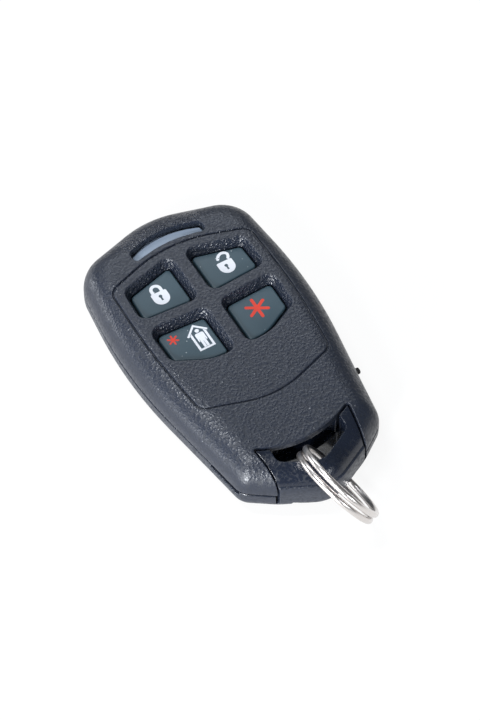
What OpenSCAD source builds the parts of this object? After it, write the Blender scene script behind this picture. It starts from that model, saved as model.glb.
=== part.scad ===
// Four-key alarm fob for a key ring: two shells, a silicone keypad, a coin-cell board and a split ring.
// Millimetres. +Z is up out of the keys and +Y runs to the light end.
// The origin lies on the flat back, on the centre line of the case.

/* [Case] */
// Width across the widest part of the case
body_w = 37.4; // [36.4:0.1:40]
// Length from the light end to the ring end
body_l = 65.6; // [64:0.1:70]
// Height of the flat key face above the flat back
body_h = 11.8; // [11.6:0.1:13]
// Height of the seam between the rear shell and the front shell
seam_z = 6; // [5.9:0.1:6.2]
// Wall thickness of both shells
wall = 1.5; // [1.3:0.1:1.6]
// How far the front shell's rounded shoulder runs in from the seam outline
shoulder_run = 6.2; // [5.5:0.1:7]
// Fullness of that shoulder: 2 is an ellipse, more gives a steeper side and a tighter edge
shoulder_full = 2.3; // [2:0.05:2.5]
// How far the rear shell's rounded edge runs in to the flat back
back_run = 7.5; // [6.5:0.1:9]
// Height at which the rear shell's wall starts to turn under
back_turn = 4.2; // [3.8:0.1:4.6]
// Open line left between the two shells
seam_gap = 0.24; // [0.15:0.01:0.35]

/* [Keys] */
// Depth of the key tops below the key face
key_sink = 1.7; // [1.2:0.1:1.9]
// Travel of a key from rest to the contact pads
key_travel = 0.75; // [0.5:0.05:0.9]
// Clearance around a key in its opening
key_gap = 0.28; // [0.2:0.02:0.4]
// How far a pocket's rim stands outside its key
pocket_flare = 1.15; // [0.9:0.05:1.3]
// Rounding along the top edge of a key
key_edge = 0.35; // [0.2:0.05:0.6]

/* [Face] */
// Width of the groove that outlines the key area
groove_w = 0.42; // [0.3:0.02:0.6]
// Depth of that groove
groove_deep = 0.5; // [0.3:0.05:0.6]
// Depth of the light pipe's window below the key face
window_sink = 1.65; // [1.2:0.05:1.9]

/* [Ring end] */
// Half width of the notch for the ring loop, where it meets the face
notch_x = 9.75; // [9.2:0.05:10]
// Clearance between the ring loop and the front shell
loop_gap = 0.3; // [0.2:0.02:0.4]
// How far the loop's upper surface is stepped in above its end wall
loop_step = 0.28; // [0.15:0.01:0.4]
// Height of the end wall below that step
loop_wall_z = 8; // [7.4:0.1:8.4]
// Length of the pry slot in the left seam
pry_l = 7.4; // [5:0.1:8]
// Height of the pry slot
pry_h = 0.9; // [0.6:0.05:1.1]

/* [Split ring] */
// Radius of the ring's wire centre line
ring_r = 8.2; // [8.1:0.1:8.6]
// Thickness of the ring's wire
ring_wire = 1.06; // [0.9:0.02:1.1]
// Spacing of the ring's two turns
ring_pitch = 1.5; // [1.5:0.02:1.56]
// Lean of the ring away from upright
ring_lean = 31; // [30.5:0.5:31.5]

/* [Board] */
// Thickness of the circuit board
board_t = 1; // [0.8:0.1:1]

/* [Hidden] */
$fn = 48;
// Standard coin cell
cell_d = 20;
cell_t = 3.2;
half_l = body_l / 2;
// The plan is drawn for a case of this size, and every place in it follows the real case
plan_w = 37.4;
plan_l = 65.6;
function place(p) = [p[0] * body_w / plan_w, p[1] * body_l / plan_l];
function placed(corners) = [for (c = corners) concat(place(c), [c[2]])];
joint_up = seam_z + seam_gap / 2;
joint_down = seam_z - seam_gap / 2;
case_grey = [0.27, 0.28, 0.32];
silicone_grey = [0.28, 0.34, 0.37];
pipe_blue = [0.5, 0.57, 0.66];
carbon_black = [0.08, 0.08, 0.09];
board_green = [0.1, 0.36, 0.2];
copper = [0.75, 0.5, 0.25];
gold = [0.85, 0.68, 0.3];
steel = [0.76, 0.77, 0.78];
chip_black = [0.1, 0.1, 0.11];
lamp_clear = [0.85, 0.88, 0.9];

// Outline corners of the case from the light end round to the ring end, as [x, y, radius]
case_corners = placed([[0, 33.15, 20], [17.05, 28.2, 7], [19.55, 5.5, 89], [14.3, -26, 3.5],
    [8.9, -29.75, 14], [0, -34.1, 7]]);
// Outline of the key area, its groove runs along it
shield_corners = placed([[0, 24.3, 26], [14.5, 19.5, 2.2], [14.75, 4.25, 100],
    [13.27, -10.57, 2.5], [0, -14.9, 18.5]]);
// Window of the light pipe, arched on both long sides
window_corners = placed([[0, 28.2, 17], [7.3, 25.3, 0.7], [7.35, 23.1, 0.7], [0, 24.93, 22]]);
// A key of the upper row and a key of the lower row, on the right-hand side
upper_key = placed([[2.35, 20, 0.7], [11.5, 17.6, 0.9], [11.75, 12.15, 0.9], [2.35, 11.55, 0.7]]);
lower_key = placed([[2.4, 7.15, 0.7], [11.75, 7.65, 0.9], [11.6, 1.7, 0.9],
    [5.8, -1.3, 9], [2.3, -1.4, 0.6]]);
// The keypad sheet's rounded edge
sheet_corners = placed([[13.2, 21.4, 3], [13.2, -3.2, 3], [-13.2, -3.2, 3], [-13.2, 21.4, 3]]);
// Notch in the front shell, the face ends there in an arc that bulges to the ring
notch_end = place([8.8, -29.4]);
notch_top = place([notch_x, -21.95]);
notch_half = [[notch_top[0], notch_top[1], 0.5], [notch_end[0], notch_end[1], 60],
    [notch_end[0], -half_l - 7, 0.5]];
notch_corners = concat(placed([[0, -26.5, 18]]), notch_half, swapped(notch_half));
// Hole of the ring loop, before the face's arc closes it
hole_half = placed([[7, -18, 0.5], [7, -26.2, 1.6]]);
hole_corners = concat(hole_half, placed([[0, -29.9, 4]]), swapped(hole_half));
// Room that the hole opens into, under the arc edge of the face
room_half = placed([[6.4, -22.4, 1.2], [6.4, -27, 0.5]]);
room_corners = concat(room_half, swapped(room_half));

// Corner rounding: the arc at c between the edges to p and n
function flat2(v) = [v[0], v[1]];
function unit(v) = v / norm(v);
function wrap(a) = a > 180 ? a - 360 : a < -180 ? a + 360 : a;
function arc_step(r) = r < 3 ? 22 : 7.5;
function corner_arc(p, c, n, r) =
    let (u = unit(p - c), v = unit(n - c), half = acos(u * v) / 2)
    let (mid = c + unit(u + v) * r / sin(half), reach = r / tan(half))
    let (s = c + u * reach - mid, e = c + v * reach - mid)
    let (a0 = atan2(s[1], s[0]), sweep = wrap(atan2(e[1], e[0]) - a0))
    let (steps = max(2, ceil(abs(sweep) / arc_step(r))))
    [for (i = [0:steps]) mid + r * [cos(a0 + sweep * i / steps), sin(a0 + sweep * i / steps)]];
function rounded(corners) =
    let (k = len(corners))
    [for (i = [0:k - 1]) each corner_arc(
        flat2(corners[(i + k - 1) % k]), flat2(corners[i]), flat2(corners[(i + 1) % k]), corners[i][2])];
// A right-hand half that starts and ends on the axis, with its mirror image
function both_sides(h) = concat(h, [for (i = [len(h) - 2:-1:1]) [-h[i][0], h[i][1], h[i][2]]]);
function swapped(h) = [for (i = [len(h) - 1:-1:0]) [-h[i][0], h[i][1], h[i][2]]];

case_outline = rounded(both_sides(case_corners));
// Insets run straight to a spine along the middle of the case, so the outline never folds over itself
spine = 12;
function inset(p, d) = p + unit([0, min(max(p[1], -spine), spine)] - p) * d;
function case_ring(d) = [for (p = case_outline) inset(p, d)];

// A solid through rings of the case outline, each level being [inset, height], from the lowest up
module loft(levels) {
    n = len(case_outline);
    last = len(levels) - 1;
    points = [for (l = levels) for (p = case_ring(l[0])) [p[0], p[1], l[1]]];
    sides = [for (i = [0:last - 1], j = [0:n - 1])
        let (k = (j + 1) % n)
        each [[i * n + j, i * n + k, i * n + n + k], [i * n + j, i * n + n + k, i * n + n + j]]];
    under = [[for (j = [n - 1:-1:0]) j]];
    over = [[for (j = [0:n - 1]) last * n + j]];
    polyhedron(points, concat(under, sides, over));
}

// Levels of the shells' skins: a full quarter curve above the seam and an ellipse below the rear wall
skin_steps = 9;
bend = 2 / shoulder_full;
function front_level(t, run, rise, d0) = [d0 + run * (1 - pow(cos(t), bend)), seam_z + rise * pow(sin(t), bend)];
function front_levels(d0, run, rise, last = 90) =
    [for (i = [0:skin_steps]) front_level(last * i / skin_steps, run, rise, d0)];
function back_levels(d0, run, floor_z) =
    concat([for (i = [skin_steps:-1:0])
        let (t = 90 * i / skin_steps)
        [d0 + run * (1 - cos(t)), back_turn - (back_turn - floor_z) * sin(t)]], [[d0, joint_down]]);
front_rise = body_h - seam_z;

// Seam joint: a lip on the rear shell stands inside a rebate of the front shell
lip_t = 0.55;
lip_gap = 0.3;
lip_in = wall + 0.1;
lip_out = lip_in - lip_t;
rebate_in = lip_out - lip_gap;
lip_h = 0.9;
rebate_h = lip_h + lip_gap;

// Heights inside the case
board_z = 5.2;
board_top = board_z + board_t;
pad_t = 0.05;
sheet_t = 0.7;
sheet_z = board_top + pad_t;
sheet_top = sheet_z + sheet_t;
key_top = body_h - key_sink;
pill_t = 0.3;
pill_z = board_top + pad_t + key_travel + 0.05;
plunger_z = pill_z + pill_t;
skirt_h = 1.35;
key_base = sheet_top + skirt_h;
skirt_gap = 0.02;
skirt_t = 0.35;
skirt_out = 1;
pocket_floor = key_top - 0.35;
well_z = pocket_floor - 0.65;
well_wall = 1.2;

// Lamp on the board and the light pipe above it
lamp_y = place([0, 25.3])[1];
lamp_h = 1.1;
lamp_gap = 0.3;
flange_t = 0.9;
flange_z = body_h - 2.5 - flange_t;
flange_out = 0.7;
window_gap = 0.1;
seat_gap = 0.15;

// Coin cell and its contacts, below the board
cell_y = place([0, 4])[1];
cell_top = board_z - 0.1;
clip_t = 0.25;
clip_z = cell_top - cell_t - clip_t;
clip_w = 6;
clip_gap = 0.25;

// Split ring, where the photograph shows it: hung in the loop and lying over to one side
ring_mid = [0.3, -half_l - 1.3, 8.72];
ring_turn = 7.2;
ring_start = 68;
ring_jog = 50;
ring_steps = 38;
ring_sides = 8;

module outline2d(corners) {
    polygon(rounded(corners));
}

module notch2d() {
    outline2d(notch_corners);
}

module hole2d() {
    intersection() {
        notch2d();
        outline2d(hole_corners);
    }
}

// The space inside both shells that stays clear of the ring end
module clear_of_loop(extra) {
    difference() {
        children();
        translate([0, 0, -1]) linear_extrude(body_h + 2) offset(delta = extra) {
            notch2d();
            outline2d(room_corners);
        }
    }
}

// The four keys' outlines, in the order lock, unlock, stay, star
key_outlines = [swapped(upper_key), upper_key, swapped(lower_key), lower_key];

module key2d(i, grow) {
    offset(delta = grow) outline2d(key_outlines[i]);
}

// A slab of a key's outline, and a taper between two of them
module key_slab(i, grow, z, h) {
    translate([0, 0, z]) linear_extrude(h) key2d(i, grow);
}

thin = 0.01;

module key_taper(i, grow_low, z_low, grow_high, z_high) {
    hull() {
        key_slab(i, grow_low, z_low, thin);
        key_slab(i, grow_high, z_high - thin, thin);
    }
}

module front_cavity() {
    inner_run = shoulder_run - 0.4;
    clear_of_loop(wall) {
        union() {
            loft(front_levels(wall, inner_run, front_rise - wall));
            loft([[rebate_in, joint_down - 1], [rebate_in, seam_z + rebate_h]]);
        }
    }
}

// The front shell's outer skin, closed at the seam
module front_skin() {
    curved = front_levels(0, shoulder_run, front_rise);
    loft(concat([[0, joint_up]], [for (l = curved) if (l[1] > joint_up) l]));
}

// Fine groove round the key area, equally deep over the flat face and the start of the shoulder
module shield_groove() {
    difference() {
        translate([0, 0, seam_z]) linear_extrude(body_h) difference() {
            offset(delta = groove_w / 2) outline2d(both_sides(shield_corners));
            offset(delta = -groove_w / 2) outline2d(both_sides(shield_corners));
        }
        translate([0, 0, -groove_deep]) front_skin();
    }
}

// Posts that bear on the board's upper face
post_places = [[13, 22], [-13, 22], [11, -13], [-11, -13]];
post_r = 1.4;
post_h = body_h - wall / 2 - board_top;

module front_shell() {
    rim_wall = key_gap + pocket_flare + well_wall;
    color(case_grey)
    difference() {
        union() {
            difference() {
                front_skin();
                front_cavity();
            }
            for (i = [0:3]) key_taper(i, key_gap + well_wall, well_z, rim_wall, body_h - 1);
            for (p = post_places) translate(concat(place(p), [board_top])) cylinder(h = post_h, r = post_r);
        }
        for (i = [0:3]) {
            key_taper(i, key_gap, pocket_floor, pocket_flare + 0.1, body_h + 0.1);
            key_slab(i, key_gap, well_z - 1, pocket_floor - well_z + 1 + thin);
        }
        shield_groove();
        translate([0, 0, flange_z]) linear_extrude(body_h) outline2d(both_sides(window_corners));
        translate([0, 0, board_top]) linear_extrude(flange_z + flange_t + seat_gap - board_top)
            offset(delta = flange_out + seat_gap) outline2d(both_sides(window_corners));
        translate([0, 0, -1]) linear_extrude(body_h + 2) notch2d();
        translate([0, 0, -1]) linear_extrude(body_h - wall + 1) outline2d(room_corners);
    }
}

// Loop for the split ring: an end wall, and above it a stepped-in top that follows the front shell's shoulder
module ring_loop() {
    loop_drop = 0.45;
    rise = front_rise - loop_drop;
    wall_turn = asin(pow((loop_wall_z - seam_z) / front_rise, 1 / bend));
    intersection() {
        union() {
            loft(concat([[0, joint_down - 1]], front_levels(0, shoulder_run, front_rise, wall_turn)));
            loft(concat([[loop_step, joint_down - 1]], front_levels(loop_step, shoulder_run, rise)));
        }
        translate([0, 0, seam_z - 2]) linear_extrude(body_h) offset(delta = -loop_gap) notch2d();
    }
}

// Cradle ribs that keep the coin cell from moving sideways, and posts under the board
rib_count = 6;
rib_clear = 0.5;
board_rest = 0.1;
rear_posts = [[11.5, 20.5], [-11.5, 20.5], [10.5, -14.5], [-10.5, -14.5]];

module cradle_rib(a) {
    rib_h = 3.2;
    translate([0, cell_y, 0]) rotate(a) hull() {
        translate([cell_d / 2 + rib_clear, -1.6, wall - 0.4]) cube([1.2, 3.2, thin]);
        translate([cell_d / 2 + rib_clear, -1.2, wall - 0.4 + rib_h]) cube([0.8, 2.4, thin]);
    }
}

module rear_post(p) {
    hull() {
        translate(concat(place(p), [wall / 2])) cylinder(h = thin, r = 1.7);
        translate(concat(place(p), [board_z - board_rest])) cylinder(h = thin, r = 1.3);
    }
}

// Underside of the loop's bar, sloped so that the ring can swing beneath it
bar_out = place([0, -31.7]);
bar_in = place([0, -28.3]);
bar_low = 3;
bar_high = 5.7;
bar_under = [[-half_l / 2, -1], [-half_l - 3, -1], [-half_l - 3, bar_low], [bar_out[1], bar_low],
    [bar_in[1], bar_high], [-half_l / 2, bar_high]];
slot_w = 0.5;
slot_l = 3.4;
slot_out = 0.1;
slot_low = 3.6;
slot_h = seam_z + 0.6 - slot_low;
pry_y = place([0, -21.7])[1];
pry_deep = 0.9;
side_lean = 9.6;
nib_y = place([0, -14.3])[1];
nib_root = 1;
nib_out = 0.7;
nib_down = 0.75;
under_x = hole_half[0][0] - 0.4;
// Where the case's right-hand side lies at a height y of the plan
function side_x(y) =
    let (k = len(case_outline))
    max([for (i = [0:k - 1])
        let (a = case_outline[i], b = case_outline[(i + 1) % k])
        if (min(a[1], b[1]) <= y && max(a[1], b[1]) > y) a[0] + (b[0] - a[0]) * (y - a[1]) / (b[1] - a[1])]);

module rear_shell() {
    rear_run = back_run - 1;
    color(case_grey)
    difference() {
        union() {
            difference() {
                loft(back_levels(0, back_run, 0));
                clear_of_loop(wall) loft(concat(back_levels(wall, rear_run, wall), [[wall, seam_z + 1]]));
            }
            clear_of_loop(wall + loop_gap) difference() {
                loft([[lip_out, joint_down - 0.8], [lip_out, joint_down + lip_h]]);
                loft([[lip_in, joint_down - 2], [lip_in, joint_down + 2]]);
            }
            ring_loop();
            for (i = [0:rib_count - 1]) cradle_rib(360 * (i + 0.5) / rib_count);
            for (p = rear_posts) rear_post(p);
            translate([side_x(nib_y) - nib_root, nib_y, seam_z - nib_down]) rotate([0, 90, 0])
                cylinder(h = nib_root + nib_out, r1 = 0.6, r2 = 0.45);
        }
        translate([0, 0, -1]) linear_extrude(body_h + 2) hole2d();
        intersection() {
            translate([-under_x, 0, 0]) rotate([90, 0, 90]) linear_extrude(2 * under_x) polygon(bar_under);
            translate([0, 0, -2]) linear_extrude(body_h) notch2d();
        }
        for (s = [-1, 1])
            translate([s * (notch_end[0] + slot_out) - slot_w / 2, notch_end[1] - slot_l / 2, slot_low])
                cube([slot_w, slot_l, slot_h]);
        translate([-side_x(pry_y), pry_y, joint_down - pry_h]) rotate(side_lean)
            translate([-2, -pry_l / 2, 0]) cube([2 + pry_deep, pry_l, pry_h + 0.02]);
    }
}

// Light pipe: a flange under the face, the window that stands up in the slot, and a stem over the lamp
module light_pipe() {
    window_h = body_h - window_sink - flange_z - flange_t;
    stem_z = board_top + lamp_h + lamp_gap;
    stem = [4, 2.2, flange_z - stem_z + thin];
    color(pipe_blue) {
        translate([0, 0, flange_z]) linear_extrude(flange_t)
            offset(delta = flange_out) outline2d(both_sides(window_corners));
        translate([0, 0, flange_z + flange_t - thin]) linear_extrude(window_h + thin)
            offset(delta = -window_gap) outline2d(both_sides(window_corners));
        translate([-stem[0] / 2, lamp_y - stem[1] / 2, stem_z]) cube(stem);
    }
}

module keypad_sheet() {
    color(silicone_grey) translate([0, 0, sheet_z]) linear_extrude(sheet_t) {
        difference() {
            outline2d(sheet_corners);
            for (i = [0:3]) key2d(i, skirt_out);
        }
    }
}

// A key: its crowned cap in the pocket, and the plunger that carries its pill
module key(i) {
    color(silicone_grey) {
        key_slab(i, 0, key_base, key_top - key_edge - key_base);
        key_taper(i, 0, key_top - key_edge - thin, -key_edge, key_top);
        key_slab(i, -1.7, plunger_z, key_base - plunger_z + thin);
    }
}

// The thin sloped web that lets a key sink towards the sheet
module skirt(i) {
    top = key_base - skirt_gap;
    color(silicone_grey) difference() {
        key_taper(i, skirt_out, sheet_top, 0, top);
        key_taper(i, skirt_out - skirt_t, sheet_top - thin, -skirt_t, top + thin);
    }
}

key_middles = [for (m = [[-7, 15.3], [7, 15.3], [-6.9, 3.4], [6.9, 3.4]]) place(m)];
pill_r = 2.4;

module pill(i) {
    place = [key_middles[i][0], key_middles[i][1], pill_z];
    color(carbon_black) translate(place) cylinder(h = pill_t, r = pill_r);
}

module lock_key() {
    key(0);
}

module unlock_key() {
    key(1);
}

module stay_key() {
    key(2);
}

module star_key() {
    key(3);
}

module lock_skirt() {
    skirt(0);
}

module unlock_skirt() {
    skirt(1);
}

module stay_skirt() {
    skirt(2);
}

module star_skirt() {
    skirt(3);
}

module lock_pill() {
    pill(0);
}

module unlock_pill() {
    pill(1);
}

module stay_pill() {
    pill(2);
}

module star_pill() {
    pill(3);
}

// Board outline, clear of both shells' walls and of the ring end
board_edge = 2.5;
board_end = place([0, -19])[1];

module board2d() {
    difference() {
        polygon(case_ring(board_edge));
        offset(delta = wall + 0.6) notch2d();
        translate([-body_w, board_end - body_l]) square([2 * body_w, body_l]);
    }
}

module circuit_board() {
    color(board_green) translate([0, 0, board_z]) linear_extrude(board_t) board2d();
}

// Two interleaved half discs under each pill
module contact_pads() {
    split = 0.4;
    color(gold) for (m = key_middles) translate([m[0], m[1], board_top]) linear_extrude(pad_t) {
        difference() {
            circle(r = pill_r + 0.4);
            translate([-split / 2, -pill_r - 1]) square([split, 2 * pill_r + 2]);
        }
    }
}

// Printed track that runs round the board's light end
module antenna_loop() {
    track_w = 0.9;
    track_in = 0.5;
    color(copper) translate([0, 0, board_top]) linear_extrude(pad_t) intersection() {
        difference() {
            offset(delta = -track_in) board2d();
            offset(delta = -track_in - track_w) board2d();
        }
        translate([-body_w, place([0, 23.6])[1]]) square([2 * body_w, half_l]);
    }
}

module indicator_led() {
    base = [3.2, 1.6, 0.5];
    color(lamp_clear) {
        translate([-base[0] / 2, lamp_y - base[1] / 2, board_top]) cube(base);
        translate([0, lamp_y, board_top + base[2] - thin]) cylinder(h = lamp_h - base[2], r1 = 0.7, r2 = 0.5);
    }
}

module coin_cell() {
    rim_in = 1.4;
    step_z = 0.6;
    color(steel) translate([0, cell_y, cell_top - cell_t]) {
        cylinder(h = cell_t - step_z, d = cell_d);
        translate([0, 0, cell_t - step_z - thin]) cylinder(h = step_z + thin, d = cell_d - 2 * rim_in);
    }
}

// Spring strip across the cell's rear face, with a foot at each side up to the board
module cell_clip() {
    reach = cell_d / 2 + clip_gap;
    color(steel) translate([0, cell_y, 0]) {
        translate([-reach - clip_t, -clip_w / 2, clip_z]) cube([2 * (reach + clip_t), clip_w, clip_t]);
        for (s = [-1, 1]) translate([s > 0 ? reach : -reach - clip_t, -clip_w / 2, clip_z])
            cube([clip_t, clip_w, board_z - clip_z]);
    }
}

module cell_contact() {
    color(gold) translate([0, cell_y, cell_top]) cylinder(h = board_z - cell_top, r = 4);
}

// Chip body with two rows of leads, on the board's rear face
module transmitter_chip() {
    body = [5, 4, 1.4];
    leads = 4;
    pitch = 1.27;
    stand = 0.15;
    lead = [0.4, 1, 0.3];
    lead_in = 0.2;
    lead_y = [-body[1] / 2 - lead[1] + lead_in, body[1] / 2 - lead_in];
    color(chip_black) translate(concat(place([5.5, -12]), [board_z - stand - body[2]])) {
        translate([-body[0] / 2, -body[1] / 2, 0]) cube(body);
        for (i = [0:leads - 1], y = lead_y)
            translate([(i - (leads - 1) / 2) * pitch - lead[0] / 2, y, body[2] - lead[2]])
                cube([lead[0], lead[1], stand + lead[2]]);
    }
}

module crystal_can() {
    can = [4.6, 2.2, 1.8];
    color(steel) translate(concat(place([-6.5, -11]), [board_z - can[2]])) linear_extrude(can[2])
        offset(r = can[1] / 2 - 0.1) square([can[0] - can[1], 0.2], center = true);
}

// Small chip resistors and capacitors on the board's rear face
module chip_parts() {
    part = [1.6, 0.8, 0.6];
    spacing = [2.6, 1.9];
    first = place([-7, -15.6]);
    color(chip_black) for (i = [0:3], j = [0:1])
        translate([first[0] + i * spacing[0], first[1] - j * spacing[1], board_z - part[2]]) cube(part);
}

// Centre line of the split ring: a turn, a short step across, and a second turn beside the first
function ring_side(a) =
    let (t = min(max((a - 360 + ring_jog) / ring_jog, 0), 1)) (t * t * (3 - 2 * t) - 0.5) * ring_pitch;
ring_sweep = 720 - ring_jog;
ring_last = ceil(ring_sweep * ring_steps / 360);
function ring_point(i) =
    let (a = ring_sweep * i / ring_last)
    [ring_r * cos(a), ring_r * sin(a), ring_side(a)];
ring_line = [for (i = [0:ring_last]) ring_point(i)];
ring_self_gap = min([for (i = [0:ring_last], j = [0:ring_last])
    if (j - i > ring_steps / 4) norm(ring_line[i] - ring_line[j])]) - ring_wire;
echo(split_ring_least_gap = ring_self_gap);

module split_ring() {
    k = ring_sides;
    points = [for (i = [0:ring_last], j = [0:k - 1])
        let (a = ring_sweep * i / ring_last, b = 360 * j / k)
        ring_line[i] + ring_wire / 2 * [cos(a) * cos(b), sin(a) * cos(b), sin(b)]];
    sides = [for (i = [0:ring_last - 1], j = [0:k - 1])
        let (m = (j + 1) % k, o = i * k)
        each [[o + j, o + k + j, o + k + m], [o + j, o + k + m, o + m]]];
    ends = [[for (j = [0:k - 1]) j], [for (j = [k - 1:-1:0]) ring_last * k + j]];
    color(steel) translate(ring_mid) rotate(ring_turn) rotate([0, 90 - ring_lean, 0]) rotate(ring_start)
        polyhedron(points, concat(sides, ends));
}

rear_shell();
front_shell();
light_pipe();
keypad_sheet();
lock_key();
unlock_key();
stay_key();
star_key();
lock_skirt();
unlock_skirt();
stay_skirt();
star_skirt();
lock_pill();
unlock_pill();
stay_pill();
star_pill();
circuit_board();
contact_pads();
antenna_loop();
indicator_led();
coin_cell();
cell_clip();
cell_contact();
transmitter_chip();
crystal_can();
chip_parts();
split_ring();
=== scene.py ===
import math

import bmesh
import bpy
import numpy as np
from mathutils import Matrix, Vector


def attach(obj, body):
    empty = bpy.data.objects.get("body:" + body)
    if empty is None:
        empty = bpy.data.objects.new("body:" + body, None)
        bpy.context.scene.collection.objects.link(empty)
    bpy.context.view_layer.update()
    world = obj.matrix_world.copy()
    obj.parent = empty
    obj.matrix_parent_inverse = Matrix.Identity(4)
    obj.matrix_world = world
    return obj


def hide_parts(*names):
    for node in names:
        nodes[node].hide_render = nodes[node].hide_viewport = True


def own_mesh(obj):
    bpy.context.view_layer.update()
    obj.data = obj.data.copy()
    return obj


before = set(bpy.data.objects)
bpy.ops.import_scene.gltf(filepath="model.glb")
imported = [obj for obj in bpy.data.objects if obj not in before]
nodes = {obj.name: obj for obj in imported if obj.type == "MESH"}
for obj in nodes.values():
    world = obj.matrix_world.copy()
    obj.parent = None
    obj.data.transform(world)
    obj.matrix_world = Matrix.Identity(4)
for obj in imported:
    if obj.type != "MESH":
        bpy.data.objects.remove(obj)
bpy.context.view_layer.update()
MM = 0.001

# Sizes of the fob in millimetres, as in the solid model, apart from those of the nib, the rolled rims,
# the broken edges, the print and the skin

body_h = 11.8
seam_z, seam_gap, wall = 6.0, 0.24, 1.5
shoulder_run, shoulder_full, back_run, back_turn = 6.2, 2.3, 7.5, 4.2
bend = 2 / shoulder_full
joint_up, joint_down = seam_z + seam_gap / 2, seam_z - seam_gap / 2
front_rise = body_h - seam_z
seam_edge = [(0, 0.22), (0.04, 0.1), (0.15, 0)]
seam_band = 0.2
lip_in, lip_out, rebate_in = wall + 0.1, wall - 0.45, wall - 0.75
lip_root, lip_high, rebate_top = 0.8, 0.9, seam_z + 1.2
key_gap, key_edge, pocket_flare, pocket_lip = 0.28, 0.35, 1.15, 0.15
key_top, key_base, plunger_z, plunger_in = body_h - 1.7, 8.3, 7.35, 1.7
pocket_floor, well_z, well_wall = key_top - 0.35, key_top - 1.0, 1.2
sheet_top, skirt_top, skirt_reach, skirt_wall = 6.95, 8.28, 1.0, 0.35
window_floor, window_flare, window_lip = 9.0, 0.1, 0.18
keys_x, keys_from, keys_to = 13.4, -3.2, 21.6
window_x, window_from, window_to = 8.2, 22, 29
flange_low, flange_h, flange_reach, flange_play = body_h - 3.4, 0.9, 0.7, 0.15
pipe_top, pipe_play = body_h - 1.65, 0.1
groove_w, groove_deep = 0.34, 0.42
board_z, board_top = 5.2, 6.2
front_posts, front_post_r = [(13, 22), (-13, 22), (11, -13), (-11, -13)], 1.4
rear_posts = [(11.5, 20.5), (-11.5, 20.5), (10.5, -14.5), (-10.5, -14.5)]
rear_post_foot_r, rear_post_head_r, rear_post_play = 1.7, 1.3, 0.1
rib_count, rib_y, rib_in, rib_foot, rib_head = 6, 4.0, 10.5, (11.7, 1.6), (11.3, 1.2)
rib_low, rib_high = wall - 0.4, wall + 2.8
loop_gap, loop_step, loop_wall_z, loop_drop = 0.3, 0.28, 8.0, 0.45
loop_x, loop_start, hole_x, hole_end = 9.0, -21.5, 7.0, -29.9
room_x, room_start, room_end = 6.4, -22.4, -27.0
slot_x, slot_half, slot_from, slot_to = 8.9, 0.25, (-31.1, 3.6), (-27.7, 6.6)
under_bar_x = 6.6
pry_y, pry_turn, pry_l, pry_h, pry_deep = -21.7, 9.6, 7.4, 0.9, 0.9
nib_y, nib_down, nib_root, nib_out, nib_r_root, nib_r_end = -13.9, 0.75, 1.0, 1.1, 0.75, 0.6
chip_y, chip_half, parts_x, parts_step, parts_l, parts_cap = -12.0, 2.02, -7.0, 2.6, 1.6, 0.1
print_half, print_lift = 0.012, 0.006
skin_voxel, skin_ease, skin_keep = 0.12, 1, 0.35

case_corners = [(0, 33.15, 20), (17.05, 28.2, 7), (19.55, 5.5, 89),
                (14.3, -26, 3.5), (8.9, -29.75, 14), (0, -34.1, 7)]
shield_corners = [(0, 24.3, 26), (14.5, 19.5, 2.2), (14.75, 4.25, 100),
                  (13.27, -10.57, 2.5), (0, -14.9, 18.5)]
window_corners = [(0, 28.2, 17), (7.3, 25.3, 0.7), (7.35, 23.1, 0.7), (0, 24.93, 22)]
upper_key = [(2.35, 20, 0.7), (11.5, 17.6, 0.9), (11.75, 12.15, 0.9), (2.35, 11.55, 0.7)]
lower_key = [(2.4, 7.15, 0.7), (11.75, 7.65, 0.9), (11.6, 1.7, 0.9), (5.8, -1.3, 9), (2.3, -1.4, 0.6)]
notch_half = [(9.75, -21.95, 0.5), (8.8, -29.4, 60), (8.8, -40, 0.5)]
hole_half = [(hole_x, -18, 0.5), (hole_x, -26.2, 1.6)]
room_half = [(room_x, room_start, 1.2), (room_x, room_end, 0.5)]


# Plan outlines: corners are (x, y, radius)

def unit(v):
    return v / np.linalg.norm(v)


def mirrored(half):
    return [(-x, y, r) for x, y, r in reversed(half)]


def both_sides(half):
    return list(half) + mirrored(half[1:-1])


def rounded(corners, turn=5.0):
    """Points of an outline with its corners rounded, an arc point every few degrees."""
    points = []
    count = len(corners)
    for i, (x, y, radius) in enumerate(corners):
        corner = np.array([x, y], float)
        u = unit(np.array(corners[i - 1][:2], float) - corner)
        v = unit(np.array(corners[(i + 1) % count][:2], float) - corner)
        half = math.acos(float(np.clip(u @ v, -1, 1))) / 2
        middle = corner + unit(u + v) * radius / math.sin(half)
        start = corner + u * radius / math.tan(half) - middle
        end = corner + v * radius / math.tan(half) - middle
        first = math.atan2(start[1], start[0])
        sweep = (math.atan2(end[1], end[0]) - first + math.pi) % (2 * math.pi) - math.pi
        steps = max(2, math.ceil(abs(math.degrees(sweep)) / turn))
        for k in range(steps + 1):
            a = first + sweep * k / steps
            points.append(middle + radius * np.array([math.cos(a), math.sin(a)]))
    return np.array(points)


def grown(corners, distance):
    """The corners of the outline that runs parallel to this one, that far outside it."""
    points = np.array([c[:2] for c in corners], float)
    after = np.roll(points, -1, 0)
    side = 1 if (points[:, 0] * after[:, 1] - after[:, 0] * points[:, 1]).sum() > 0 else -1
    out = []
    for i, corner in enumerate(points):
        e, f = unit(corner - points[i - 1]), unit(after[i] - corner)
        n, m = side * np.array([e[1], -e[0]]), side * np.array([f[1], -f[0]])
        convex = side * (e[0] * f[1] - e[1] * f[0]) > 0
        place = corner + (n + m) * distance / (1 + n @ m)
        out.append((place[0], place[1], max(corners[i][2] + (distance if convex else -distance), 0.02)))
    return out


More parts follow.
